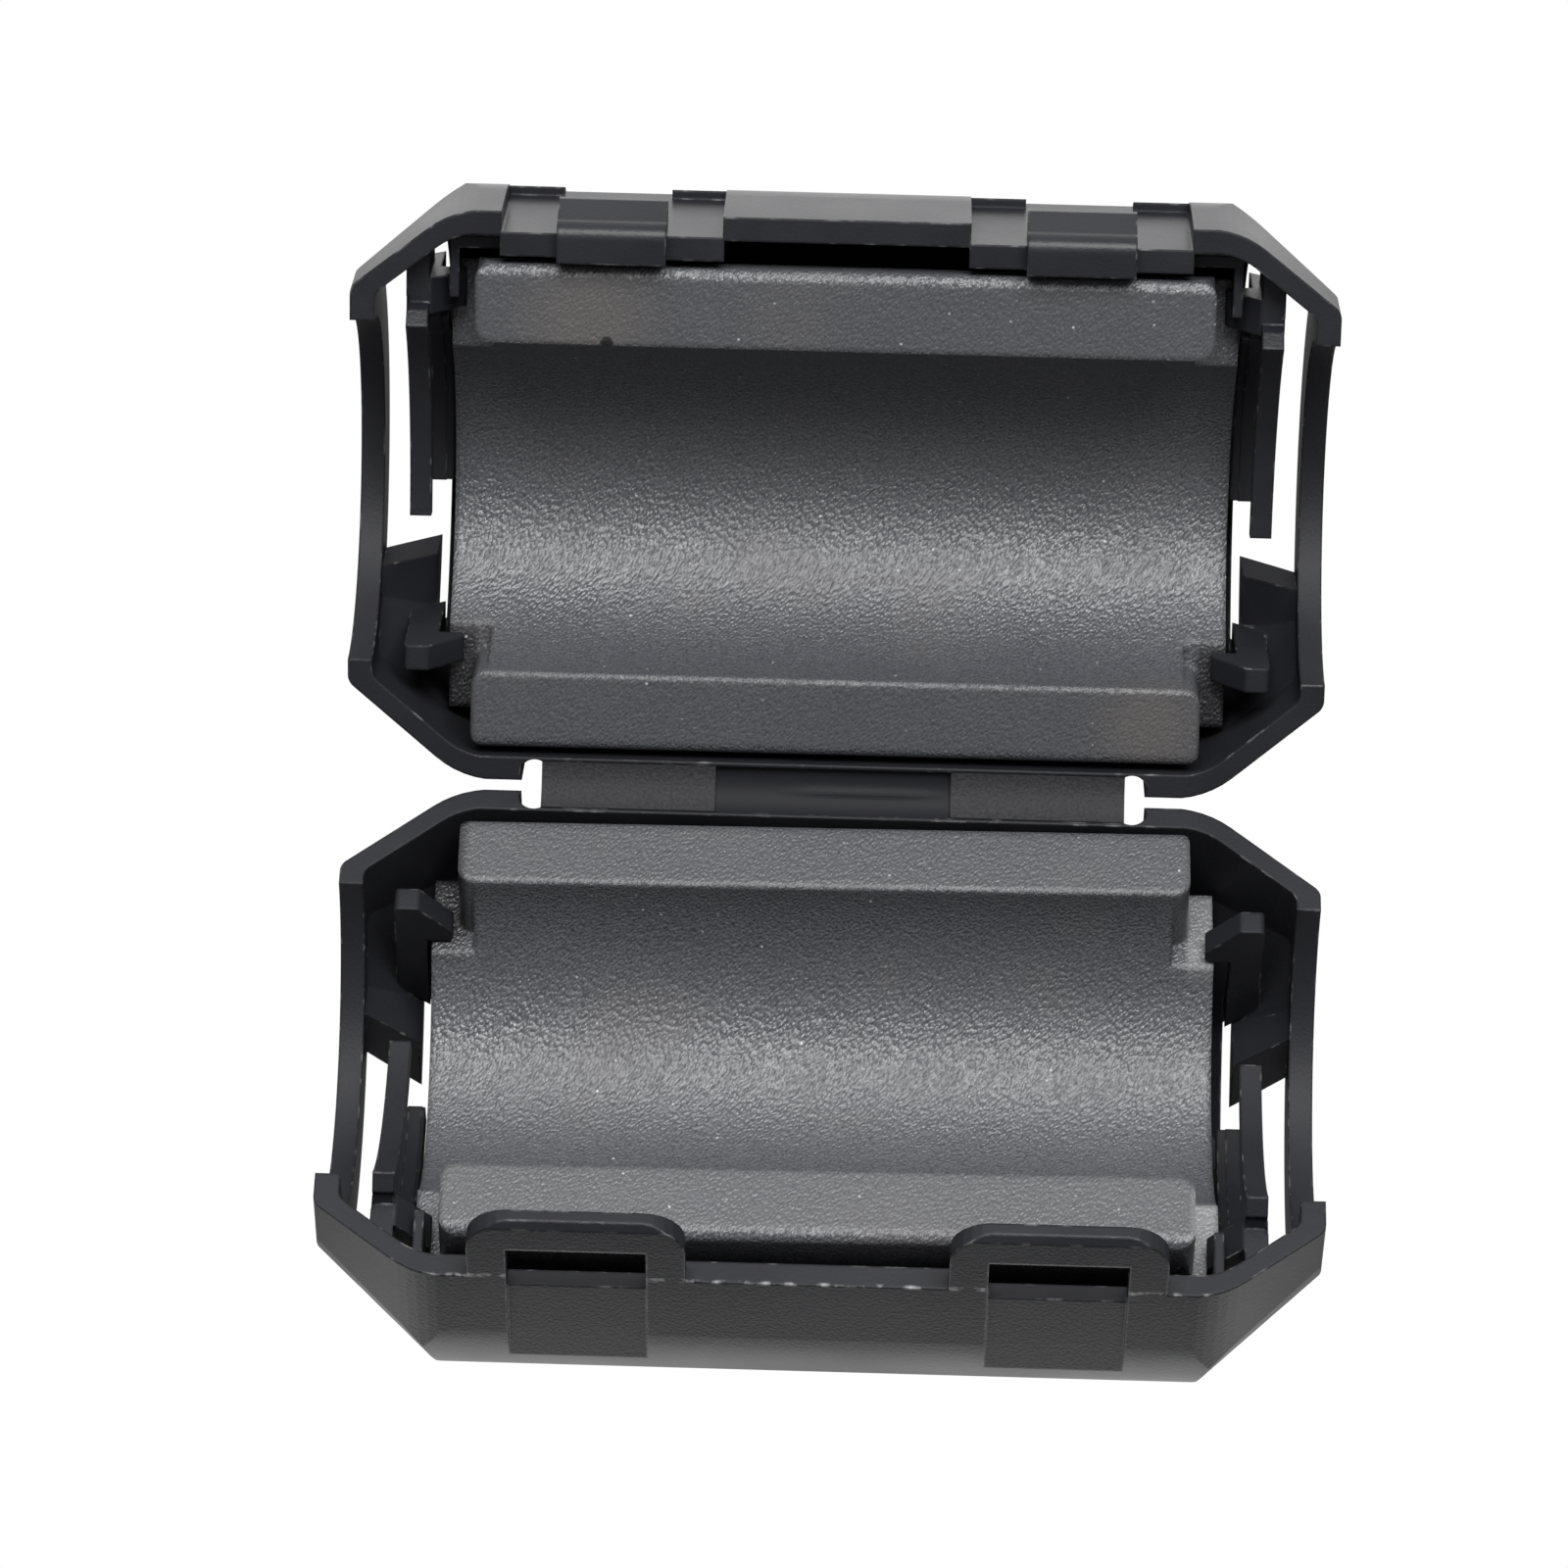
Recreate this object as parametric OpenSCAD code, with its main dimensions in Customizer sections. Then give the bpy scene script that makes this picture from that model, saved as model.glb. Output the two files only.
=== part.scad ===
// Clip-on ferrite cable bead, lying open: a moulded two-part case on a living hinge,
// with one ferrite half core held in each part.

/* [Ferrite cores] */
// Diameter of the cable bore
bore_d = 12.6; // [11.6:0.1:13.4]
// Thickness of the ferrite around the bore, which is the width of each land
core_wall_t = 3; // [2.6:0.05:3.4]
// Length of a core along the cable
core_l = 29.2; // [27:0.1:33]
// Length cut back from the lands at each end of a core
relief_l = 1; // [0.85:0.05:1.1]
// Depth of that cut below the parting plane
relief_h = 3.3; // [2.6:0.05:4]
// Rounding of the outer long edges of the lands
land_r = 0.45; // [0.2:0.05:0.7]
// Rounding of the edges of the lands along the bore
bore_edge_r = 0.12; // [0.1:0.01:0.4]
// Rounding of the end corners of the lands
land_end_r = 0.6; // [0.3:0.05:0.8]
// How far the loop-side core has slid along the cable in its half
core_slide = 0.16; // [0:0.02:0.16]
// How far it has slid towards the hinge
core_shift = 0.06; // [0:0.02:0.06]
// Angle by which the loop-side core has turned in its half
core_skew = 0.6; // [0:0.1:0.6]

/* [Case] */
// Wall thickness of the case
wall_t = 0.9; // [0.85:0.05:1]
// Room between a core and the hinge-side wall
core_gap = 0.3; // [0.24:0.02:0.4]
// Room between a core and the floor of its case half
floor_gap = 0.4; // [0.2:0.05:0.6]
// Room between a core and the latch-side wall
latch_room = 1.1; // [1.05:0.05:1.4]
// Distance from the end of a core to the end of the case
end_room = 3.6; // [3.4:0.05:4.2]
// Share of the wall thickness that is left at the corner chamfers
corner_share = 0.85; // [0.8:0.05:0.9]
// Rounding between the long walls and the floor
floor_r = 7; // [6:0.1:7.6]
// Hinge-side corner chamfer of the plan, along the cable
hinge_corner_l = 4.3; // [3.6:0.1:5]
// Hinge-side corner chamfer of the plan, across the cable
hinge_corner_w = 3.7; // [3.2:0.1:4.2]
// Latch-side corner chamfer of the plan, along the cable
latch_corner_l = 3.8; // [3.2:0.1:4.4]
// Latch-side corner chamfer of the plan, across the cable
latch_corner_w = 3; // [2.6:0.1:3.4]
// Rounding where the chamfers meet the long walls
corner_r = 3.5; // [1.5:0.1:4.5]
// Rounding where the chamfers meet the end faces
nose_r = 0.6; // [0.2:0.05:1]
// Radius of the tapered ends around the cable, at the end faces
end_r = 8.1; // [8:0.05:8.3]
// Length of the taper along the cable
taper_l = 6; // [5.8:0.1:6.6]
// Height of the taper
taper_h = 5.5; // [5.3:0.1:5.8]
// Depth of the corner floors beside the core
ledge_h = 7.1; // [6.6:0.1:7.6]
// Rise of the corner floors from there to the end wall
ledge_rise = 1.8; // [1.2:0.1:2.2]
// Gap left between the closed case halves at each rim
parting = 0.05; // [0.02:0.01:0.1]

/* [Cable ends] */
// Hinge axis to the middle of the end hoops
hoop_y = 11.25; // [11:0.05:11.4]
// Radius of the opening in the end hoops
hoop_r = 6.5; // [6.4:0.05:6.6]
// Hinge axis to the near edge of the open end windows
window_y = 6.9; // [6.4:0.1:7.2]
// Length of the deep floor that runs on past the end of a core
strip_l = 0.35; // [0.3:0.05:0.4]
// Slot between there and the raised corner floor
slot_w = 0.35; // [0.25:0.05:0.4]
// Bend radius of the spring fingers that centre the cable
finger_r = 10; // [9.6:0.1:10.4]
// Thickness of a spring finger
finger_h = 0.75; // [0.6:0.05:0.9]
// Length of a spring finger along the cable
finger_l = 0.8; // [0.6:0.05:1]
// Distance from the end of a core to its spring finger
finger_x = 0.75; // [0.6:0.05:0.9]
// Hinge axis to the centre of the fingers' bend
finger_y = 10.1; // [9.9:0.05:10.3]
// Height of that centre above the parting plane
finger_rise = 6.5; // [6.4:0.05:6.7]
// Angle at which a spring finger starts, measured from the latch side down
finger_from = 42; // [42:1:46]
// Angle at which a spring finger ends
finger_to = 94; // [84:1:100]
// Radius of the curved web that runs from a block around the end of the core
web_r = 7.1; // [7:0.05:7.4]
// Height of that web
web_h = 1.2; // [1:0.05:1.4]
// Angle at which that web ends, past the lowest point of the bore
web_angle = 97; // [80:1:110]

/* [Core clips] */
// Thickness of the hinge-side clips that hold a core down
clip_t = 0.95; // [0.8:0.05:1]
// Distance from the end of a core to the clip posts
clip_gap = 0.4; // [0.35:0.05:0.45]
// Length of the clip posts along the cable
post_l = 1.2; // [1:0.05:1.3]
// Depth of the clip tops below the parting plane
clip_top = 1.25; // [1.1:0.05:1.6]
// Drop of a clip arm from its post to its tip
arm_drop = 1.4; // [1.2:0.05:1.5]
// Clearance under a clip arm
arm_gap = 0.12; // [0.08:0.02:0.3]
// Reach of a clip arm over the core
arm_reach = 0.55; // [0.4:0.05:0.6]
// Start of the arm's slope, from the inner face of its post
arm_start = 0.3; // [0.2:0.05:0.4]
// Hinge axis to the middle of the hinge-side clips
clip_y = 4.5; // [4.3:0.05:4.55]
// Rounding of the clip edges
tip_r = 0.2; // [0.1:0.05:0.3]
// Depth of the posts under the hinge-side clips
post_h = 7.3; // [7.1:0.05:7.5]
// Hinge axis to the corner blocks that carry the latch-side clips
block_y = 17.75; // [17.6:0.05:17.9]
// Width of those blocks
block_w = 1.35; // [1.2:0.05:1.5]
// Depth of those blocks
block_h = 5.6; // [4.6:0.1:6]
// Thickness of the guide that runs on from a block around the corner of the core
guide_t = 0.45; // [0.4:0.02:0.5]
// Middle of the case to the start of the guide at the latch wall
guide_x = 11.8; // [11.5:0.1:12]
// Middle of the case to the start of the slit behind the guide
slit_x = 12.75; // [12.7:0.05:13]
// Width of that slit
slit_w = 0.35; // [0.25:0.05:0.45]

/* [Latches] */
// Distance from the middle of the case to each latch
latch_x = 8.6; // [7.6:0.1:9.2]
// Width of a latch loop
loop_w = 7.8; // [7:0.1:8.4]
// Height of a latch loop above the rim
loop_h = 3.2; // [3:0.1:3.6]
// Thickness of a latch loop
loop_t = 0.7; // [0.6:0.05:0.8]
// Rounding of the loop's upper corners
loop_r = 1.5; // [0.8:0.1:1.8]
// Width of the window in a loop
window_w = 5; // [4.4:0.1:5.6]
// Height of that window above the rim
window_h = 1.65; // [1.6:0.05:1.8]
// How far the window runs on below the rim
window_drop = 0.9; // [0.75:0.05:1]
// Depth of the moulding channel below each window
channel_t = 0.25; // [0.15:0.05:0.4]
// Width of a catch tab
tab_w = 4; // [3.6:0.1:4.2]
// Height of a tab's tongue above the rim
tongue_h = 0.65; // [0.5:0.05:0.65]
// Thickness of a tab's tongue
tongue_t = 1.5; // [1.4:0.05:1.55]
// Set-back of the tongue from the latch face
tongue_back = 0.25; // [0.2:0.05:0.3]
// Rounding of the tongue's outer top edge
tongue_r = 0.6; // [0.3:0.1:0.6]
// Height of the catch nose below the rim
nose_h = 1.55; // [1.4:0.05:1.55]
// How far the nose stands out past the wall
nose_out = 0.25; // [0.1:0.05:0.3]
// Straight height of the nose above its catching edge
nose_flat_h = 0.3; // [0.2:0.05:0.6]
// Depth of the pockets that take the loops
pocket_h = 6; // [5.4:0.1:6.2]
// Clearance around a loop in its pocket
latch_gap = 0.08; // [0.05:0.01:0.15]
// Wall left behind a pocket
pad_t = 0.9; // [0.7:0.05:1]

/* [Hinge] */
// Angle between the open case halves
opening_angle = 125; // [110:1:150]
// Hinge axis to the hinge-side wall of each half
hinge_gap = 0.2; // [0.12:0.02:0.3]
// Length of the living hinge along its axis
hinge_l = 21.8; // [19:0.1:23]
// Length of the thicker strap at each end of the hinge
strap_l = 6.5; // [5:0.1:8]
// Thickness of the straps
strap_t = 0.35; // [0.25:0.05:0.45]
// Hinge axis to the root of the straps
strap_root = 0.95; // [0.8:0.05:1]
// Thickness of the recessed web between the straps
web_t = 0.25; // [0.2:0.05:0.3]
// Radius of the relief notch at each end of the hinge
relief_r = 0.55; // [0.4:0.05:0.7]

/* [Hidden] */
$fn = 96;
// How far every cut runs past the face it opens
overrun = 1;
// How far an outline stands proud of the face that trims it
skim = 0.03;
// Flats in each rounded corner of an outline
arc_steps = 6;
bore_r = bore_d / 2;
core_r = bore_r + core_wall_t;
core_end = core_l / 2;
land_end = core_end - relief_l;
case_end = core_end + end_room;
// Bore axis, latch-side wall, latch face and floor of a half, from the hinge axis. The wall leaves
// room for the core, and for the guide and its slit between it and the corner blocks.
core_y = hinge_gap + wall_t + core_gap + core_r;
latch_wall_y = max(core_y + core_r + latch_room, block_y + block_w + guide_t + slit_w);
half_w = latch_wall_y + wall_t;
half_depth = core_r + floor_gap + wall_t;
side_h = half_depth - floor_r;
hoop_x = case_end - wall_t;
finger_start = core_end + finger_x;
finger_end = finger_start + finger_l;
web_from = finger_from / 2;
taper = taper_h / taper_l;
// Core clips
arm_floor = relief_h - arm_gap;
slot_x = core_end + strip_l;
ledge_x = slot_x + slot_w;
clip_x = core_end + clip_gap;
tip_x = core_end - arm_reach;
guide_y = latch_wall_y - slit_w - guide_t;
// Latches
recess_t = loop_t + latch_gap;
pocket_w = loop_w + latch_gap * 4;
pad_w = (slit_x - latch_x) * 2 - latch_gap;
// Living hinge
tilt = (180 - opening_angle) / 2;
hinge_r = strap_root / tan(tilt);
hinge_rise = strap_root / sin(tilt);
web_drop = strap_t - web_t / 4;
hinge_pocket_h = web_drop + web_t;
web_l = hinge_l - strap_l * 2;
// Height of the hinge axis when the open bead stands on its two floor roundings
axis_z = floor_r + side_h * cos(tilt) - (hinge_gap + floor_r) * sin(tilt);

case_colour = [0.09, 0.09, 0.1];
core_colour = [0.27, 0.27, 0.28];

// Vector of a given length along another
function along(v, length) = v * length / norm(v);

// Size of a chamfer of a by b, measured along a, once its outline is moved in by a wall
function chamfer_in(a, b, inset) = a + inset * (corner_share * norm([a, b]) - a - b) / b;

// Points of the arc that rounds the corner p by a radius, between its two neighbours
function corner_arc(before, p, after, r) =
    let (u = along(before - p, 1),
         v = along(after - p, 1),
         half_angle = acos(u * v) / 2,
         middle = p + along(u + v, r / sin(half_angle)),
         from = p + u * r / tan(half_angle) - middle,
         to = p + v * r / tan(half_angle) - middle,
         start = atan2(from[1], from[0]),
         turn = atan2(cross(from, to), from * to))
    r == 0 ? [p] : [for (i = [0 : arc_steps]) let (a = start + turn * i / arc_steps)
                       middle + [cos(a), sin(a)] * r];

// Outline with each corner rounded by its own radius
module rounded_outline(points, radii) {
    count = len(points);
    polygon([for (i = [0 : count - 1])
                each corner_arc(points[(i + count - 1) % count], points[i],
                                points[(i + 1) % count], radii[i])]);
}

// Mirrored pair, one at each end of the case
module both_ends() {
    children();
    mirror([1, 0, 0]) children();
}

// Solid drawn in the plane across the cable, running from one place along the cable to another
module along_cable(from, to) {
    translate([from, 0, 0]) rotate([90, 0, 90]) linear_extrude(to - from) children();
}

// Section of a case half across the cable, in by a wall and up to a given height
module side_section(inset, top) {
    r = floor_r - inset;
    near = hinge_gap + inset;
    far = half_w - inset;
    translate([near, -side_h]) square([far - near, side_h + top]);
    intersection() {
        union() {
            translate([near + r, -side_h - r]) square([far - near - r * 2, r * 2]);
            for (y = [near + r, far - r]) translate([y, -side_h]) circle(r);
        }
        translate([near, -side_h - r]) square([far - near, r]);
    }
}

// Plan of a case half: a long octagon, in by a wall. Its long sides stand a little proud
// of the section, which trims them.
module plan_outline(inset) {
    l = case_end - inset;
    near = hinge_gap + inset - skim;
    far = half_w - inset + skim;
    near_l = chamfer_in(hinge_corner_l, hinge_corner_w, inset);
    near_w = chamfer_in(hinge_corner_w, hinge_corner_l, inset);
    far_l = chamfer_in(latch_corner_l, latch_corner_w, inset);
    far_w = chamfer_in(latch_corner_w, latch_corner_l, inset);
    side_r = max(corner_r - inset, nose_r);
    rounded_outline(
        [[l - near_l, near], [l, near + near_w], [l, far - far_w], [l - far_l, far],
         [far_l - l, far], [-l, far - far_w], [-l, near + near_w], [near_l - l, near]],
        [side_r, nose_r, nose_r, side_r, side_r, nose_r, nose_r, side_r]);
}

// Form around the cable whose ends taper, in by a wall
module end_form(inset) {
    l = case_end + overrun;
    r = end_r - taper * overrun - inset * norm([1, taper]);
    translate([0, hoop_y, 0]) rotate([0, 90, 0]) rotate_extrude()
        polygon([[0, -l], [r, -l], [r + taper_h, taper_l - l],
                 [r + taper_h, l - taper_l], [r, l], [0, l]]);
}

// Bulk of a case half, in by a wall and up to a given height
module half_form(inset, top) {
    intersection() {
        along_cable(-case_end - overrun, case_end + overrun) side_section(inset, top);
        translate([0, 0, -half_depth - overrun]) linear_extrude(half_depth + overrun * 2)
            plan_outline(inset);
        end_form(inset);
    }
}

// Side view of the inside of a case half: a deep middle, and a raised floor that slopes up to each end
module inside_outline() {
    reach = case_end + overrun;
    end_z = ledge_rise / (hoop_x - ledge_x) * (reach - ledge_x) - ledge_h;
    polygon([[-ledge_x, -half_depth - overrun], [ledge_x, -half_depth - overrun], [ledge_x, -ledge_h],
             [reach, end_z], [reach, half_depth], [-reach, half_depth],
             [-reach, end_z], [-ledge_x, -ledge_h]]);
}

// Inside of a case half
module inside_form() {
    intersection() {
        half_form(wall_t, overrun);
        translate([0, half_w + overrun, 0]) rotate([90, 0, 0])
            linear_extrude(half_w + overrun * 2) inside_outline();
    }
}

// Column through the floor over the inside of the case, cut to a box in plan
module floor_opening(from, to) {
    intersection() {
        translate([0, 0, -half_depth - overrun]) linear_extrude(half_depth + overrun * 2)
            plan_outline(wall_t);
        translate([from[0], from[1], -half_depth - overrun])
            cube([to[0] - from[0], to[1] - from[1], half_depth + overrun * 2]);
    }
}

// Everything cut from one end of a case half
module end_cuts() {
    translate([core_end, hoop_y, 0]) rotate([0, 90, 0]) cylinder(r = hoop_r, h = end_room + overrun);
    floor_opening([slot_x, window_y], [hoop_x, latch_wall_y]);
    floor_opening([slot_x, clip_y - clip_t / 2], [ledge_x, window_y]);
    floor_opening([slit_x, guide_y + guide_t], [clip_x, latch_wall_y]);
}

// Section of an arc between two angles, which are measured from the latch side down
module arc_section(inner, outer, from, to) {
    steps = 4;
    intersection() {
        difference() {
            circle(outer);
            circle(inner);
        }
        polygon(concat([[0, 0]],
                       [for (i = [0 : steps]) let (a = from + (to - from) * i / steps)
                           [cos(a), -sin(a)] * outer * 2]));
    }
}

// Spring finger, bent up from its corner block and across the opening, with the curved web beside it
module spring_finger() {
    crest = [finger_y, finger_rise] + [cos(finger_from), -sin(finger_from)] * (finger_r + finger_h / 2);
    along_cable(finger_start, finger_end) {
        translate([finger_y, finger_rise])
            arc_section(finger_r, finger_r + finger_h, finger_from, finger_to);
        polygon([crest, crest + [finger_h / 2, -finger_h], [block_y + block_w / 2, -block_h / 2],
                 [block_y - finger_h / 2, -block_h / 2], crest - [finger_h, finger_h]]);
    }
    web_in = [core_y, 0] + [cos(web_from), -sin(web_from)] * web_r;
    web_out = [core_y, 0] + [cos(web_from), -sin(web_from)] * (web_r + web_h);
    tie_y = block_y + block_w * 3 / 4;
    along_cable(clip_x, finger_start + finger_l / 4) {
        translate([core_y, 0]) arc_section(web_r, web_r + web_h, web_from, web_angle);
        polygon([web_in, [tie_y, web_in[1]], [tie_y, web_out[1]],
                 web_out - [0, web_h / 4], web_in - [0, web_h / 4]]);
    }
}

// Side view of a clip: a post of a given depth, and an arm that slopes down over the cut end of the core
module clip_outline(depth) {
    rounded_outline(
        [[tip_x, -arm_floor], [tip_x, -clip_top - arm_drop],
         [clip_x + arm_start, -clip_top], [clip_x + post_l, -clip_top],
         [clip_x + post_l, post_l * taper - depth], [clip_x, -depth], [clip_x, -arm_floor]],
        [tip_r, tip_r, tip_r, tip_r, 0, 0, 0]);
}

// Clip of a given depth and thickness, which starts at a given distance from the hinge axis
module clip(depth, y, thickness) {
    translate([0, y + thickness, 0]) rotate([90, 0, 0]) linear_extrude(thickness) clip_outline(depth);
}

// Latch-side corner block with its clip, tied to the corner wall, and the guide that runs around the core
module corner_block() {
    clip(block_h, block_y, block_w);
    translate([0, 0, -block_h + post_l]) linear_extrude(block_h - post_l - clip_top) intersection() {
        plan_outline(wall_t / 2);
        translate([clip_x + slit_w, block_y + block_w / 2]) square([post_l - slit_w, half_w - block_y]);
    }
    translate([0, 0, -arm_floor]) linear_extrude(arm_floor - clip_top)
        polygon([[guide_x, latch_wall_y + wall_t / 2], [guide_x, guide_y], [tip_x + tip_r, guide_y],
                 [tip_x + tip_r, block_y + block_w / 2], [core_end, block_y + block_w / 2],
                 [core_end, guide_y + guide_t], [slit_x, guide_y + guide_t],
                 [slit_x, latch_wall_y + wall_t / 2]]);
}

// Half of the moulded case, as both halves have it
module half_case() {
    difference() {
        half_form(0, -parting);
        inside_form();
        both_ends() end_cuts();
        translate([-hinge_l / 2, hinge_gap - overrun, -hinge_pocket_h])
            cube([hinge_l, overrun + strap_root - hinge_gap, hinge_pocket_h + overrun]);
        both_ends() translate([hinge_l / 2 + relief_r / 2, hinge_gap + relief_r / 2, -side_h])
            cylinder(r = relief_r, h = side_h + overrun);
    }
    both_ends() spring_finger();
    both_ends() clip(post_h, clip_y - clip_t / 2, clip_t);
    both_ends() corner_block();
}

// Catch tab: a nose with a sloped lead-in, and a tongue that rises above the rim
module catch_tab() {
    outer = half_w - tongue_back;
    along_cable(-tab_w / 2, tab_w / 2) difference() {
        polygon([[half_w - recess_t - pad_t, -pocket_h], [half_w - recess_t, -pocket_h],
                 [half_w - recess_t, -nose_h], [half_w + nose_out, -nose_h],
                 [half_w + nose_out, nose_flat_h - nose_h],
                 [outer, -parting], [outer, tongue_h], [outer - tongue_t, tongue_h],
                 [outer - tongue_t, -parting - tongue_h]]);
        difference() {
            translate([outer - tongue_r, tongue_h - tongue_r]) square(tongue_r + overrun);
            translate([outer - tongue_r, tongue_h - tongue_r]) circle(tongue_r);
        }
    }
}

// Pad behind a pocket, so that the wall keeps its thickness there
module pocket_pad() {
    translate([-pad_w / 2, half_w - recess_t - pad_t, -pocket_h - recess_t])
        cube([pad_w, pad_t, pocket_h + recess_t - parting]);
}

// Pocket for a latch loop, with the mould's channel running out below the nose
module loop_pocket() {
    translate([-pocket_w / 2, half_w - recess_t, -pocket_h])
        cube([pocket_w, recess_t + overrun, pocket_h + overrun]);
    translate([-tab_w / 2, half_w - recess_t, -half_depth])
        cube([tab_w, recess_t + overrun, half_depth]);
}

// Latch loop standing on the rim, drawn from the side
module loop_outline() {
    difference() {
        rounded_outline(
            [[-loop_w / 2, -window_drop], [loop_w / 2, -window_drop],
             [loop_w / 2, loop_h], [-loop_w / 2, loop_h]],
            [loop_t / 2, loop_t / 2, loop_r, loop_r]);
        translate([-window_w / 2, -window_drop - overrun])
            square([window_w, window_drop + overrun + window_h]);
    }
}

module latch_loop() {
    difference() {
        translate([0, half_w, 0]) rotate([90, 0, 0]) linear_extrude(loop_t) loop_outline();
        translate([0, half_w, loop_h]) rotate([45, 0, 0])
            cube([loop_w + overrun, loop_t / 2, loop_t / 2], center = true);
    }
}

// Window and moulding channel that each loop needs in the wall below it
module loop_cut() {
    translate([-window_w / 2, latch_wall_y - overrun, -window_drop])
        cube([window_w, wall_t + overrun * 2, window_drop + overrun]);
    translate([-window_w / 2, half_w - channel_t, -half_depth])
        cube([window_w, channel_t + overrun, half_depth]);
}

module at_latches() {
    for (side = [-1, 1]) translate([side * latch_x, 0, 0]) children();
}

// Places of the two halves, opened to both sides of the hinge axis
module tab_side() {
    translate([0, 0, axis_z]) rotate([tilt, 0, 0]) children();
}

module loop_side() {
    translate([0, 0, axis_z]) rotate([-tilt, 0, 0]) mirror([0, 1, 0]) children();
}

module tab_half_case() {
    color(case_colour) tab_side() {
        difference() {
            union() {
                half_case();
                at_latches() pocket_pad();
            }
            at_latches() loop_pocket();
        }
        at_latches() catch_tab();
    }
}

module loop_half_case() {
    color(case_colour) loop_side() {
        difference() {
            half_case();
            at_latches() loop_cut();
        }
        at_latches() latch_loop();
    }
}

// Half core: a half ring with rounded lands, cut back at both ends for the clips
module half_core() {
    difference() {
        translate([0, core_y, 0]) along_cable(-core_end, core_end) difference() {
            circle(core_r);
            circle(bore_r);
            translate([-core_r - overrun, -parting]) square([(core_r + overrun) * 2, core_r + overrun]);
            for (side = [0, 1]) mirror([side, 0]) {
                land_rounding(core_r, -1, land_r);
                land_rounding(bore_r, 1, bore_edge_r);
            }
        }
        both_ends() relief_cut();
    }
}

// Corner to take off the long edge of a land, which ends at a given distance from the bore axis
// and whose ferrite lies inwards or outwards from there
module land_rounding(edge, inward, r) {
    middle = [edge + inward * r, -parting - r];
    difference() {
        translate(middle) mirror([inward > 0 ? 1 : 0, 0]) square(r + overrun);
        translate(middle) circle(r);
    }
}

// Space cut back from the end of both lands, with rounded corners left on the lands
module relief_cut() {
    translate([0, 0, -relief_h]) linear_extrude(relief_h + overrun) difference() {
        translate([land_end - land_end_r, core_y - core_r - overrun])
            square([relief_l + land_end_r + overrun, (core_r + overrun) * 2]);
        for (land = [core_y - core_r, core_y + bore_r])
            rounded_outline(
                [[land_end - land_end_r * 3, land], [land_end, land],
                 [land_end, land + core_wall_t], [land_end - land_end_r * 3, land + core_wall_t]],
                [0, land_end_r, land_end_r, 0]);
    }
}

module tab_half_core() {
    color(core_colour) tab_side() half_core();
}

module loop_half_core() {
    color(core_colour) loop_side() translate([-core_slide, core_y - core_shift, 0])
        rotate([0, 0, -core_skew]) translate([0, -core_y, 0]) half_core();
}

// Part of the hinge's bent web, between two radii about the centre of its bend
module bent_web(length, inner, outer) {
    along_cable(-length / 2, length / 2) translate([0, hinge_rise]) intersection() {
        difference() {
            circle(outer);
            circle(inner);
        }
        polygon([[0, 0], [-outer * 2 * sin(tilt), -outer * 2 * cos(tilt)],
                 [outer * 2 * sin(tilt), -outer * 2 * cos(tilt)]]);
    }
}

// Living hinge: a strap at each end, and a thinner web with a fold line set lower between them
module living_hinge() {
    color(case_colour) translate([0, 0, axis_z]) {
        both_ends() translate([hinge_l / 2 - strap_l / 2, 0, 0])
            bent_web(strap_l, hinge_r, hinge_r + strap_t);
        bent_web(web_l + strap_t * 2, hinge_r + web_drop, hinge_r + web_drop + web_t);
    }
}

tab_half_case();
loop_half_case();
living_hinge();
tab_half_core();
loop_half_core();
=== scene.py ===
import math
import bpy
from mathutils import Matrix, Vector


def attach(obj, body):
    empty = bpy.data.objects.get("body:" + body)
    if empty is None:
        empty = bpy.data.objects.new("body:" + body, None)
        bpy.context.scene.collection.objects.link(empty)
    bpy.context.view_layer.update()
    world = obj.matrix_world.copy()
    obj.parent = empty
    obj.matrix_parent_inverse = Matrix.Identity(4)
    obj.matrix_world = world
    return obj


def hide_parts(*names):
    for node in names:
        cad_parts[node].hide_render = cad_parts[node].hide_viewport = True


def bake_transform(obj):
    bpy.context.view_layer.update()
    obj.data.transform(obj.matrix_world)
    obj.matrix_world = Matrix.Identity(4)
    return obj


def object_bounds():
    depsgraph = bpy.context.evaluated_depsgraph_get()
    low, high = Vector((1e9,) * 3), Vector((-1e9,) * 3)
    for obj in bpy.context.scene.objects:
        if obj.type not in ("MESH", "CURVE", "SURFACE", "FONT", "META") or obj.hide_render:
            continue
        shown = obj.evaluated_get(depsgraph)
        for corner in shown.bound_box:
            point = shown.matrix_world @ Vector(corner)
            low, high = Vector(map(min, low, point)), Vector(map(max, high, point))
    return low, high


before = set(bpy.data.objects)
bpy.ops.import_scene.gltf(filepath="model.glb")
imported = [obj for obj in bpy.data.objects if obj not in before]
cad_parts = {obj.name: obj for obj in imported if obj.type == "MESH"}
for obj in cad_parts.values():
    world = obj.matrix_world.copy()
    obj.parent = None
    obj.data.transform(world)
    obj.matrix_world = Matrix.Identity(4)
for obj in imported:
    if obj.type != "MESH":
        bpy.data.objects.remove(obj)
cad_low, cad_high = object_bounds()


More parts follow.
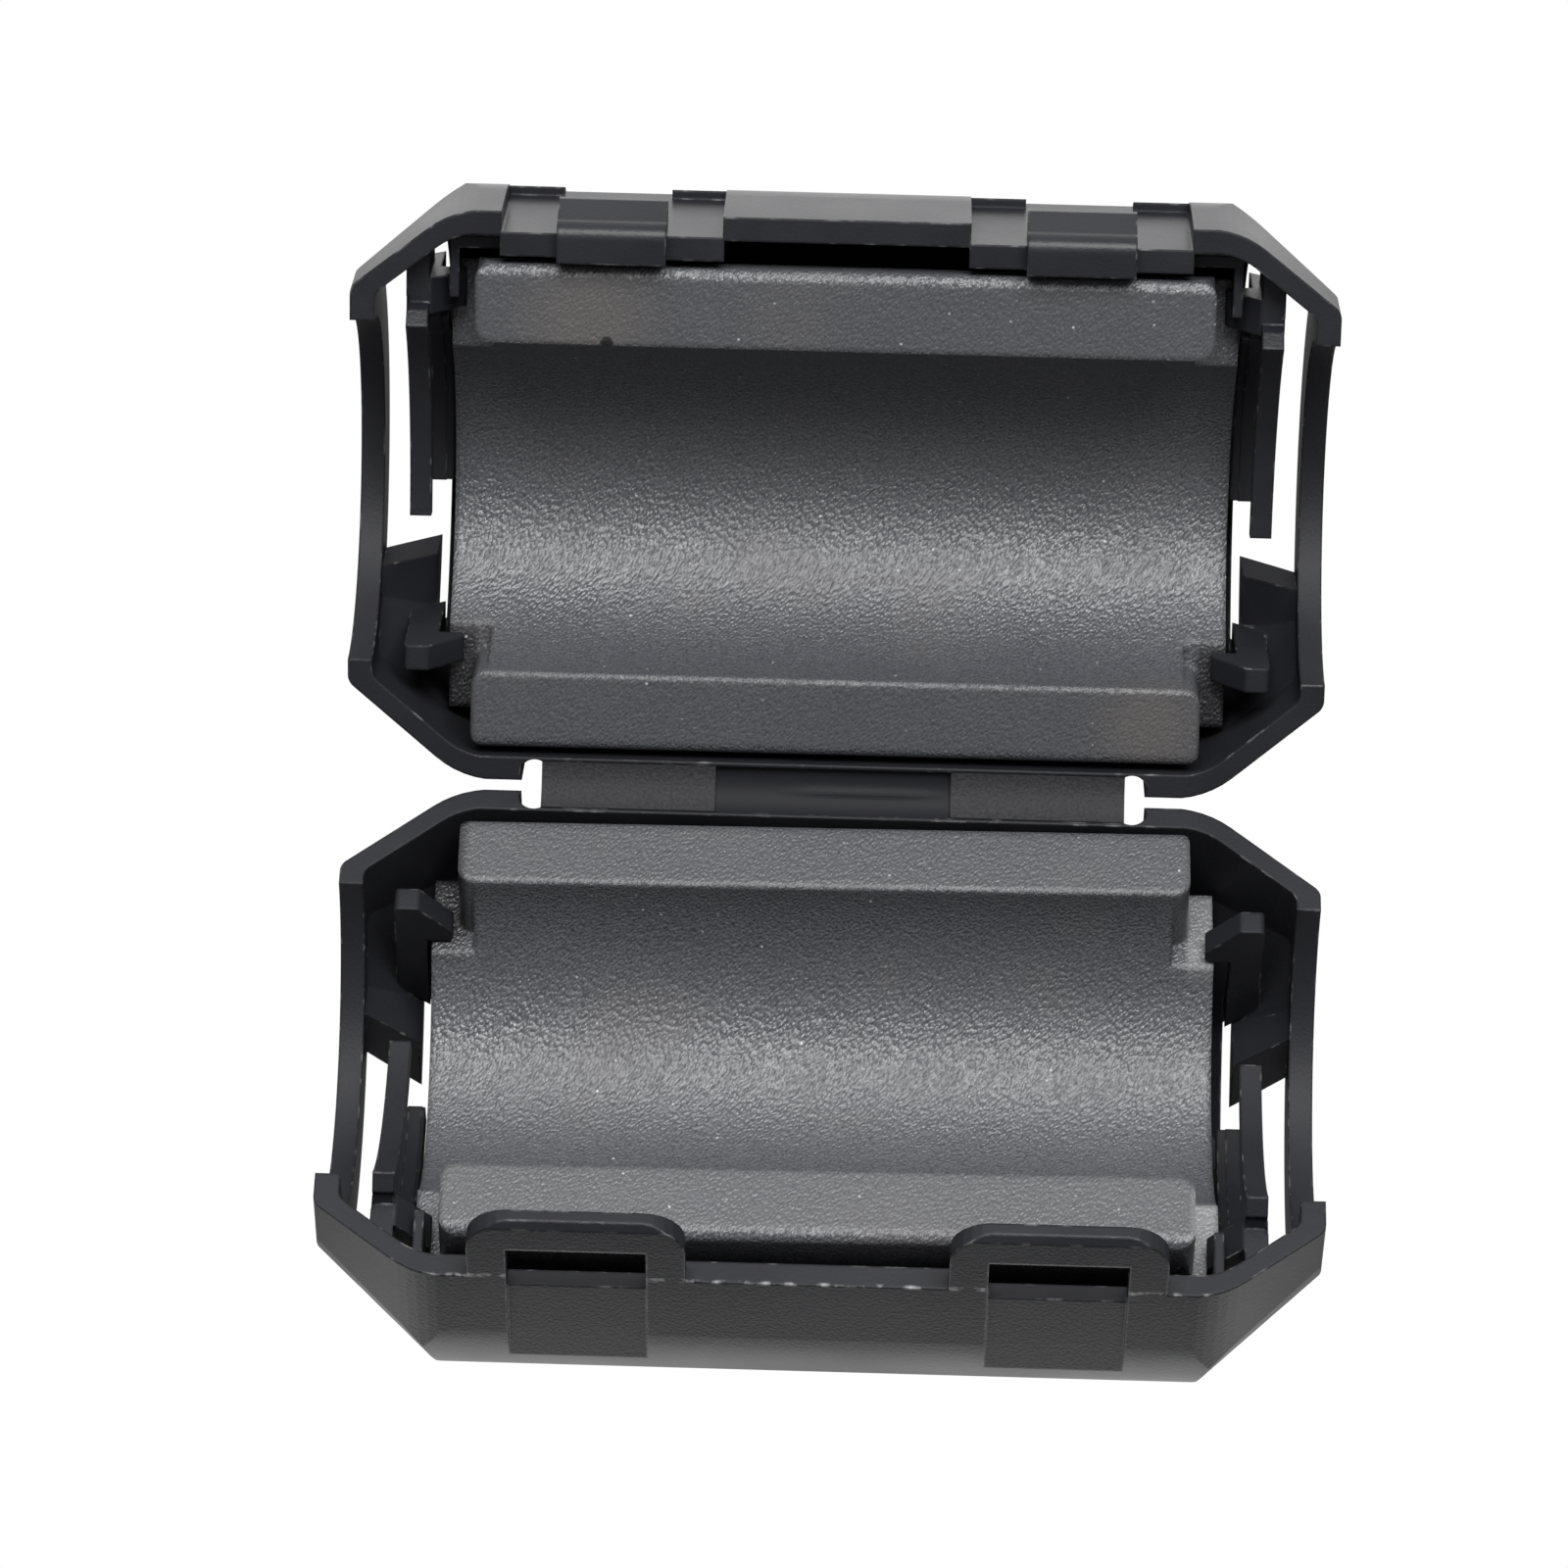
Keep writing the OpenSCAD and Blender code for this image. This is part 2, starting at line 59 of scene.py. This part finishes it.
# Tab half of the case: one injection moulding in black polypropylene, with two
# catch tabs on its latch wall. The mould was spark-eroded, so every face has a
# fine satin grain. The sharp rims are drawn lighter in broken spots, partly
# handling scuffs and partly painted glints.
deep_black = (0.0062, 0.0064, 0.0084, 1)
soft_black = (0.0095, 0.0098, 0.0122, 1)
scuff_and_glint_grey = (0.1, 0.1, 0.103, 1)
rim_glint_grey = (0.2, 0.2, 0.204, 1)
case_edge = 0.00014
case_grain_height = 0.00005
bore_offset, bore_height = 0.0095, 0.0118
latch_rim_y, latch_rim_z = -0.01952, 0.01703
inside_roughness, outside_roughness, cloudy_roughness = 0.5, 0.26, 0.14
case_clouds, case_nick_glint_scale, rim_glint_scale, case_grains = 260, 1500, 1900, 7500
edge_turn = 0.985, 0.88
nick_glint_span, glint_dot_span = (0.55, 0.7), (0.5, 0.68)
glint_rim_span = 0.00017, 0.00006
wall_span = -0.002, 0.004


def join(finish, step, inputs):
    # Joins each socket among the inputs to the step, and sets each plain value.
    for name, value in inputs.items():
        if isinstance(value, bpy.types.NodeSocket):
            finish.node_tree.links.new(value, step.inputs[name])
        else:
            step.inputs[name].default_value = value


def layer(finish, kind, inputs, **settings):
    # Adds one step to a finish.
    step = finish.node_tree.nodes.new("ShaderNode" + kind)
    for name, value in settings.items():
        setattr(step, name, value)
    join(finish, step, inputs)
    return step


case_black = bpy.data.materials.new("case_polypropylene")
case_black.use_nodes = True
place = layer(case_black, "TexCoord", {}).outputs
here = layer(case_black, "SeparateXYZ", {"Vector": place["Object"]}).outputs


def mottle(finish, where, scale, detail, roughness=0.5):
    # Cloudy unevenness; the scale is in blotches per metre.
    return layer(finish, "TexNoise", {"Vector": where, "Scale": scale, "Detail": detail,
                                      "Roughness": roughness}).outputs["Fac"]


def tones(finish, value, stops):
    # A colour that runs through the given stops, each a position and a tone.
    ramp = layer(finish, "ValToRGB", {"Fac": value})
    marks = ramp.color_ramp.elements
    marks[0].position, marks[0].color = stops[0]
    marks[1].position, marks[1].color = stops[-1]
    for position, tone in stops[1:-1]:
        marks.new(position).color = tone
    return ramp.outputs["Color"]


clouds = mottle(case_black, place["Object"], case_clouds, detail=5)
moulded = tones(case_black, clouds, ((0.3, deep_black), (0.75, soft_black)))


def measure(finish, operation, first, second):
    # Compares two places or directions.
    return layer(finish, "VectorMath", {0: first, 1: second}, operation=operation).outputs


def share(finish, value, low, high, least=0, most=1):
    # How far a value has come from low to high, as a number from least to most.
    return layer(finish, "MapRange", {"Value": value, "From Min": low, "From Max": high,
                                      "To Min": least, "To Max": most}).outputs["Result"]


def reckon(finish, operation, *values):
    # Arithmetic on one, two or three numbers.
    return layer(finish, "Math", dict(enumerate(values)), operation=operation).outputs["Value"]


def coat(finish, part, under, over):
    # One colour laid over another, by a part from 0 to 1.
    return layer(finish, "Mix", {"Factor": part, "A": under, "B": over},
                 data_type="RGBA").outputs["Result"]


rounded = layer(case_black, "Bevel", {"Radius": case_edge}, samples=6).outputs["Normal"]
flat = layer(case_black, "NewGeometry", {}).outputs["Normal"]
# Sharp edges drawn lighter in broken spots: partly scuffs, partly painted glints.
rim = share(case_black, measure(case_black, "DOT_PRODUCT", rounded, flat)["Value"], *edge_turn)
nick_and_glint_spots = share(case_black, mottle(case_black, place["Object"], case_nick_glint_scale, detail=2), *nick_glint_span)
scuffs_and_glints = coat(case_black, reckon(case_black, "MULTIPLY", rim, nick_and_glint_spots), moulded, scuff_and_glint_grey)

# Painted glints: a dotted lighter line along the sharp outer edge of the loop half's latch rim.
latch_rim = layer(case_black, "CombineXYZ", {"X": here["X"], "Y": latch_rim_y,
                                             "Z": latch_rim_z}).outputs["Vector"]
from_rim = measure(case_black, "DISTANCE", place["Object"], latch_rim)["Value"]
on_rim = share(case_black, from_rim, *glint_rim_span)
glint_dots = share(case_black, mottle(case_black, place["Object"], rim_glint_scale, detail=4), *glint_dot_span)
glinting_rim = coat(case_black, reckon(case_black, "MULTIPLY", on_rim, glint_dots), scuffs_and_glints, rim_glint_grey)

to_bore = reckon(case_black, "MULTIPLY", reckon(case_black, "SIGN", here["Y"]), bore_offset)
bore_axis = layer(case_black, "CombineXYZ", {"X": here["X"], "Y": to_bore,
                                             "Z": bore_height}).outputs["Vector"]
from_bore = measure(case_black, "SUBTRACT", place["Object"], bore_axis)["Vector"]
outside = measure(case_black, "DOT_PRODUCT", from_bore, place["Normal"])["Value"]
polish = share(case_black, outside, *wall_span, inside_roughness, outside_roughness)
case_grain = mottle(case_black, place["Object"], case_grains, detail=3)
case_relief = layer(case_black, "Bump", {"Strength": 0.22, "Distance": case_grain_height,
                                         "Height": case_grain, "Normal": rounded})
join(case_black, case_black.node_tree.nodes["Principled BSDF"], {
    "Base Color": glinting_rim,
    "Specular IOR Level": 0.15,
    "Roughness": reckon(case_black, "MULTIPLY_ADD", clouds, cloudy_roughness, polish),
    "Normal": case_relief.outputs["Normal"]})

tab_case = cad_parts["tab_half_case"]
tab_case.data.materials.clear()
tab_case.data.materials.append(case_black)


# Loop half of the case: the other half of the same shot of polypropylene, with
# two latch loops standing up from its rim. It is moulded with the tab half, in
# one tool, and has the same satin grain.
loop_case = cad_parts["loop_half_case"]
loop_case.data.materials.clear()
loop_case.data.materials.append(case_black)


# Lips of the curved webs: part of the same moulding, the web's thin edge that
# reaches from the spring finger to the end of the core and closes the gap
# between them; one beside each corner block, four in all.
half_tilt = math.radians(27.5)
hinge_height = 0.00686865
lip_middle = 0.0107
lip_inner, lip_outer = 0.00712, 0.0082
lip_from, lip_sweep, lip_steps = 24, 72.8, 32
lip_end = 0.0161
for side, body, ends in ((1, "tab_half", ((-lip_end, -0.01472), (0.01472, lip_end))),
                         (-1, "loop_half", ((-lip_end, -0.0149), (0.01468, lip_end)))):
    points, faces = [], []
    for first, last in ends:
        start = len(points)
        for i in range(lip_steps + 1):
            angle = math.radians(lip_from + lip_sweep * i / lip_steps)
            for radius, x in ((lip_inner, first), (lip_inner, last),
                              (lip_outer, last), (lip_outer, first)):
                y = lip_middle + radius * math.cos(angle)
                z = -radius * math.sin(angle)
                points.append((x, side * (y * math.cos(half_tilt) - z * math.sin(half_tilt)),
                               hinge_height + y * math.sin(half_tilt) + z * math.cos(half_tilt)))
        for i in range(lip_steps):
            a = start + 4 * i
            for k in range(4):
                faces.append((a + k, a + (k + 1) % 4, a + 4 + (k + 1) % 4, a + 4 + k)[::side])
        top = start + 4 * lip_steps
        faces.append((start, start + 3, start + 2, start + 1)[::side])
        faces.append((top, top + 1, top + 2, top + 3)[::side])
    lip_mesh = bpy.data.meshes.new(body + "_web_lips")
    lip_mesh.from_pydata(points, [], faces)
    lip_mesh.materials.append(case_black)
    lips = bpy.data.objects.new(body + "_web_lips", lip_mesh)
    bpy.context.scene.collection.objects.link(lips)
    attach(lips, body)


# Living hinge: a thin bridge of the same polypropylene, moulded with both halves
# and folded between them. Two matt, grainy straps carry the load; the web between
# them is thinner, set lower and creased along the fold. The web's darker black is
# painted shade for its lower place between the straps.
strap_inner, strap_outer = 0.001825, 0.002175
web_inner, web_outer = 0.002112, 0.002362
strap_end, web_end = 0.0109, 0.0044
fold_height = 0.0089261
crease_height, crease_turn, crease_width = 0.00004, 0.05, 0.16
crease_middle, crease_reach = 0.0012, 0.0026
strap_dark, strap_light = (0.0085, 0.0085, 0.01, 1), (0.0175, 0.0175, 0.019, 1)
# Painted shade: the web's near black, for its lower place between the straps.
web_shade_black = (0.0042, 0.0044, 0.006, 1)
hinge_pits, hinge_pit_depth = 9000, 0.00005
strap_span = 0.00438, 0.00442
strips, turns = 60, 24
points, faces = [], []
for first, last, inner, outer, ridge in (
        (-strap_end, -web_end, strap_inner, strap_outer, 0),
        (-web_end, web_end, web_inner, web_outer, crease_height),
        (web_end, strap_end, strap_inner, strap_outer, 0)):
    start = len(points)
    for face in (inner, outer):
        for i in range(strips + 1):
            x = first + (last - first) * i / strips
            for j in range(turns + 1):
                angle = half_tilt * (2 * j / turns - 1)
                off_fold = (angle / half_tilt - crease_turn) / crease_width
                off_middle = (x - crease_middle) / crease_reach
                crease = ridge * math.exp(-off_fold ** 2 - off_middle ** 4)
                radius = face - (crease if face == inner else 0)
                points.append((x, radius * math.sin(angle), fold_height - radius * math.cos(angle)))
    row = turns + 1
    sheet = (strips + 1) * row
    for i in range(strips):
        for j in range(turns):
            a = start + i * row + j
            faces.append((a, a + row, a + row + 1, a + 1))
            faces.append((a + sheet, a + sheet + 1, a + sheet + row + 1, a + sheet + row))
    for i in range(strips):
        for j, way in ((0, 1), (turns, -1)):
            a = start + i * row + j
            faces.append((a, a + sheet, a + sheet + row, a + row)[::way])
    for j in range(turns):
        for i, way in ((0, -1), (strips, 1)):
            a = start + i * row + j
            faces.append((a, a + sheet, a + sheet + 1, a + 1)[::way])
hinge_mesh = bpy.data.meshes.new("hinge_bridge")
hinge_mesh.from_pydata(points, [], faces)
hinge_bridge = bpy.data.objects.new("hinge_bridge", hinge_mesh)
bpy.context.scene.collection.objects.link(hinge_bridge)

hinge_black = bpy.data.materials.new("hinge_polypropylene")
hinge_black.use_nodes = True
place = layer(hinge_black, "TexCoord", {}).outputs
here = layer(hinge_black, "SeparateXYZ", {"Vector": place["Object"]}).outputs
on_strap = share(hinge_black, reckon(hinge_black, "ABSOLUTE", here["X"]), *strap_span)
pits = mottle(hinge_black, place["Object"], hinge_pits, detail=3)
pitted = tones(hinge_black, pits, ((0.35, strap_dark), (0.7, strap_light)))
depth = share(hinge_black, on_strap, 0, 1, 0.1, 0.55)
hinge_relief = layer(hinge_black, "Bump", {"Strength": depth, "Distance": hinge_pit_depth,
                                           "Height": pits})
join(hinge_black, hinge_black.node_tree.nodes["Principled BSDF"], {
    "Base Color": coat(hinge_black, on_strap, web_shade_black, pitted),
    "Specular IOR Level": share(hinge_black, on_strap, 0, 1, 0.07, 0.15),
    "Roughness": share(hinge_black, on_strap, 0, 1, 0.5, 0.66),
    "Normal": hinge_relief.outputs["Normal"]})
hinge_mesh.materials.append(hinge_black)
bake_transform(hinge_bridge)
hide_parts("living_hinge")


# Ferrite half core in the tab half: pressed and sintered ferrite, dark grey, with
# a pebbly skin in the bore. Only the two mating lands are ground, so they are
# flatter and smoother; dust clings to all of it.
ferrite_dark, ferrite_light = (0.0225, 0.0234, 0.0272, 1), (0.061, 0.0622, 0.068, 1)
ferrite_ground = (0.026, 0.0264, 0.029, 1)
ferrite_rust = (0.062, 0.054, 0.049, 1)
ferrite_stain = (0.058, 0.051, 0.046, 1)
ferrite_fresh = (0.1, 0.101, 0.105, 1)
hinge_end_shade_black, chip_shade_black = (0.012, 0.012, 0.0135, 1), (0.002, 0.002, 0.002, 1)
crumb_white, dust_grey = (0.5, 0.49, 0.47, 1), (0.42, 0.42, 0.42, 1)
core_edge = 0.00036
pebble_height = 0.000052
core_pebbles, core_cells, core_patches, core_specks = 12000, 9500, 190, 1300
land_turn, land_span = (0.985, 0.998), (0.0043, 0.0051)
end_span, right_end_span = (0.01345, 0.01365), (0.0133, 0.0135)
hinge_corner_span, latch_corner_span = (0.0068, 0.0056), (0.0153, 0.0156)
rust_span, rust_share, ground_share = (0.56, 0.72), 0.18, 0.5
dust_span, dust_chance = (0.085, 0.03), (0.35, 1.3)
smooth_roughness, dry_roughness, ground_roughness = 0.31, 0.44, 0.02
ferrite = bpy.data.materials.new("sintered_ferrite")
ferrite.use_nodes = True
place = layer(ferrite, "TexCoord", {}).outputs
here = layer(ferrite, "SeparateXYZ", {"Vector": place["Object"]}).outputs
from_hinge = reckon(ferrite, "ABSOLUTE", here["Y"])

facing = layer(ferrite, "SeparateXYZ", {"Vector": place["Normal"]}).outputs
turned_out = reckon(ferrite, "MULTIPLY", reckon(ferrite, "SIGN", here["Y"]), facing["Y"])
lean = reckon(ferrite, "MULTIPLY", turned_out, -math.sin(half_tilt))
level = reckon(ferrite, "MULTIPLY_ADD", facing["Z"], math.cos(half_tilt), lean)
above_bore = reckon(ferrite, "MULTIPLY_ADD", from_hinge, -math.tan(half_tilt), here["Z"])
ground = reckon(ferrite, "MULTIPLY", share(ferrite, level, *land_turn),
                share(ferrite, above_bore, *land_span))

slant = layer(ferrite, "Mapping", {"Vector": place["Object"], "Rotation": (0, 0, -0.5),
                                   "Scale": (1, 2.1, 1)}, vector_type="TEXTURE").outputs["Vector"]
pebbles = mottle(ferrite, slant, core_pebbles, detail=2, roughness=0.6)
cells = layer(ferrite, "TexVoronoi", {"Vector": slant, "Scale": core_cells}).outputs["Distance"]
skin = reckon(ferrite, "SUBTRACT", pebbles, cells)
patches = mottle(ferrite, place["Object"], core_patches, detail=4)
sintered = tones(ferrite, pebbles, ((0.3, ferrite_dark), (0.75, ferrite_light)))
rusty = coat(ferrite, share(ferrite, patches, *rust_span, 0, rust_share), sintered, ferrite_rust)
colour = coat(ferrite, reckon(ferrite, "MULTIPLY", ground, ground_share), rusty, ferrite_ground)

ends = share(ferrite, reckon(ferrite, "ABSOLUTE", here["X"]), *end_span)
hinge_corner = share(ferrite, from_hinge, *hinge_corner_span)
latch_corner = share(ferrite, from_hinge, *latch_corner_span)
# Painted shade: the relief corners at the cores' hinge-side ends drawn near black, for the shade
# they lie in.
colour = coat(ferrite, reckon(ferrite, "MULTIPLY", ends, hinge_corner), colour, hinge_end_shade_black)
loop_right_end = reckon(ferrite, "MULTIPLY", share(ferrite, here["X"], *right_end_span),
                        reckon(ferrite, "LESS_THAN", here["Y"], 0))
corners = reckon(ferrite, "MAXIMUM", latch_corner, hinge_corner)
colour = coat(ferrite, reckon(ferrite, "MULTIPLY", corners, loop_right_end), colour, ferrite_fresh)

# Marks on the cores: two warm stains and a white crumb, and a near-black spot that is painted shade
# for a small chip in the tab core's land edge, which the shape lacks.
for mark, size, solid, tone, strength in (
        ((-0.009431, 0.015869, 0.015073), 0.0034, 0.2, ferrite_stain, 0.5),
        ((0.011705, 0.002637, 0.008185), 0.0026, 0.2, ferrite_stain, 0.5),
        ((-0.008736, 0.015228, 0.014739), 0.0003, 0.6, chip_shade_black, 1),
        ((-0.009929, 0.005717, 0.006463), 0.00024, 0.6, crumb_white, 1)):
    from_mark = measure(ferrite, "DISTANCE", place["Object"], mark)["Value"]
    on_mark = layer(ferrite, "MapRange", {"Value": from_mark, "From Min": size,
                                          "From Max": size * solid, "To Max": strength},
                    interpolation_type="SMOOTHSTEP").outputs["Result"]
    colour = coat(ferrite, on_mark, colour, tone)

specks = layer(ferrite, "TexVoronoi", {"Vector": place["Object"], "Scale": core_specks}).outputs
chance = layer(ferrite, "SeparateColor", {"Color": specks["Color"]}).outputs["Red"]
dust = reckon(ferrite, "MULTIPLY", share(ferrite, specks["Distance"], *dust_span),
              share(ferrite, chance, *dust_chance))
uneven = share(ferrite, patches, 0.3, 0.7, smooth_roughness, dry_roughness)
rounded = layer(ferrite, "Bevel", {"Radius": core_edge}, samples=6).outputs["Normal"]
core_relief = layer(ferrite, "Bump", {"Strength": share(ferrite, ground, 0, 1, 0.75, 0.5),
                                      "Distance": pebble_height, "Height": skin,
                                      "Normal": rounded})
join(ferrite, ferrite.node_tree.nodes["Principled BSDF"], {
    "Base Color": coat(ferrite, dust, colour, dust_grey),
    "Roughness": reckon(ferrite, "MULTIPLY_ADD", ground, ground_roughness, uneven),
    "Normal": core_relief.outputs["Normal"]})

tab_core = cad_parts["tab_half_core"]
tab_core.data.materials.clear()
tab_core.data.materials.append(ferrite)


# Ferrite half core in the loop half: the same pressing and the same ground lands,
# held in its seat by the case's clips, where it lies a little askew. Its right
# end has the fresher, lighter corners.
loop_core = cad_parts["loop_half_core"]
loop_core.data.materials.clear()
loop_core.data.materials.append(ferrite)


# Floor: a white table under the bead. The camera sees it as plain white. What the
# satin walls reflect is a painted reflection: for glossy rays the floor glows with
# its own light, brightest close to the bead, darker in a painted shadow of the bead
# under it, dimmer to the sides and dim further off.
floor_reach = 2
paper_white = (0.45, 0.45, 0.45, 1)
shade_width, shade_length = 0.019, 0.025
table_span, flank_span, shade_span = (-0.07, 0.03), (0.02, 0.05), (0.75, 1.15)
table_glow = ((0.08, 0.02), (0.16, 0.2), (0.26, 1.6), (0.33, 2.9),
              (0.4, 1.8), (0.5, 0.5), (0.9, 0.5), (1, 1.55))
floor_mesh = bpy.data.meshes.new("floor")
floor_mesh.from_pydata([(-floor_reach, -floor_reach, 0), (floor_reach, -floor_reach, 0),
                        (floor_reach, floor_reach, 0), (-floor_reach, floor_reach, 0)],
                       [], [(0, 1, 2, 3)])
floor = bpy.data.objects.new("floor", floor_mesh)
floor.location = (0, 0, cad_low.z)
bpy.context.scene.collection.objects.link(floor)
paper = bpy.data.materials.new("floor_paper")
paper.use_nodes = True
matt = paper.node_tree.nodes["Principled BSDF"]
join(paper, matt, {"Base Color": paper_white, "Roughness": 0.9})
place = layer(paper, "TexCoord", {}).outputs
here = layer(paper, "SeparateXYZ", {"Vector": place["Object"]}).outputs
along_table = share(paper, here["Y"], *table_span)
glow = tones(paper, along_table, [(far, (grey, grey, grey, 1)) for far, grey in table_glow])
# Painted shadow of the bead in the floor's reflection: a dimmer oval under it.
footprint = measure(paper, "MULTIPLY", place["Object"],
                    (1 / shade_width, 1 / shade_length, 0))["Vector"]
from_bead = layer(paper, "VectorMath", {0: footprint}, operation="LENGTH").outputs["Value"]
painted_bead_shadow = share(paper, from_bead, *shade_span, 0.2, 1)
flank = share(paper, reckon(paper, "ABSOLUTE", here["X"]), *flank_span, 1, 0.55)
painted_reflection = layer(paper, "Emission", {"Color": reckon(paper, "MULTIPLY", painted_bead_shadow, flank),
                                     "Strength": glow})
white = layer(paper, "Emission", {"Color": (1, 1, 1, 1), "Strength": 1})
path = layer(paper, "LightPath", {}).outputs
shiny = layer(paper, "MixShader", {"Fac": path["Is Glossy Ray"], 1: matt.outputs["BSDF"],
                                   2: painted_reflection.outputs["Emission"]})
seen = layer(paper, "MixShader", {"Fac": path["Is Camera Ray"], 1: shiny.outputs["Shader"],
                                  2: white.outputs["Emission"]})
join(paper, paper.node_tree.nodes["Material Output"], {"Surface": seen.outputs["Shader"]})
floor_mesh.materials.append(paper)


# Room and lamps: a pale studio, brightest on the tab side, with one large soft
# lamp above the tab half and a weak one overhead that fills the shadows.
room_glow = ((0, 0.6), (0.25, 0.34), (0.75, 0.34), (0.97, 2.2))
lamp_aim = Vector((0, 0, 0.01))
world = bpy.data.worlds.new("studio")
bpy.context.scene.world = world
world.use_nodes = True
place = layer(world, "TexCoord", {}).outputs
here = layer(world, "SeparateXYZ", {"Vector": place["Generated"]}).outputs
glow = tones(world, share(world, here["Y"], -1, 1),
             [(turn, (grey, grey, grey, 1)) for turn, grey in room_glow])
path = layer(world, "LightPath", {}).outputs
seen = layer(world, "Mix", {"Factor": path["Is Camera Ray"], "A": glow, "B": 1}, data_type="FLOAT")
join(world, world.node_tree.nodes["Background"], {"Color": (1, 1, 1, 1),
                                                  "Strength": seen.outputs["Result"]})


def soft_lamp(name, width, depth, watts, spot):
    # A flat rectangular lamp, turned to the bead.
    lamp = bpy.data.lights.new(name, "AREA")
    lamp.shape = "RECTANGLE"
    lamp.size, lamp.size_y = width, depth
    lamp.energy = watts
    lamp_at = bpy.data.objects.new(name, lamp)
    lamp_at.location = spot
    lamp_at.rotation_euler = (lamp_aim - lamp_at.location).to_track_quat("-Z", "Y").to_euler()
    bpy.context.scene.collection.objects.link(lamp_at)
    return lamp_at


key_at = soft_lamp("key", width=0.3, depth=0.18, watts=3.45, spot=(0.03, 0.13, 0.355))
fill_at = soft_lamp("fill", width=0.4, depth=0.3, watts=0.2, spot=(0, -0.03, 0.4))


# Camera: nearly straight down on the open bead, a little from the loop half's
# side, with a long lens and slightly rolled.
lens = bpy.data.cameras.new("camera")
lens.lens = 173.08
lens.sensor_width = 36
camera = bpy.data.objects.new("camera", lens)
azimuth, elevation, roll = math.radians(4.304), math.radians(80.127), math.radians(-2.656)
camera_aim, camera_distance = Vector((-0.0018098, -0.0000362, 0.009)), 0.28
back = Vector((math.sin(azimuth) * math.cos(elevation),
               -math.cos(azimuth) * math.cos(elevation), math.sin(elevation)))
sideways = Vector((0, 0, 1)).cross(back).normalized()
rise = back.cross(sideways)
right = sideways * math.cos(roll) + rise * math.sin(roll)
up = rise * math.cos(roll) - sideways * math.sin(roll)
eye = camera_aim + back * camera_distance
camera.matrix_world = Matrix(((right.x, up.x, back.x, eye.x), (right.y, up.y, back.y, eye.y),
                              (right.z, up.z, back.z, eye.z), (0, 0, 0, 1)))
bpy.context.scene.collection.objects.link(camera)
bpy.context.scene.camera = camera
bpy.context.scene.view_settings.view_transform = "Standard"
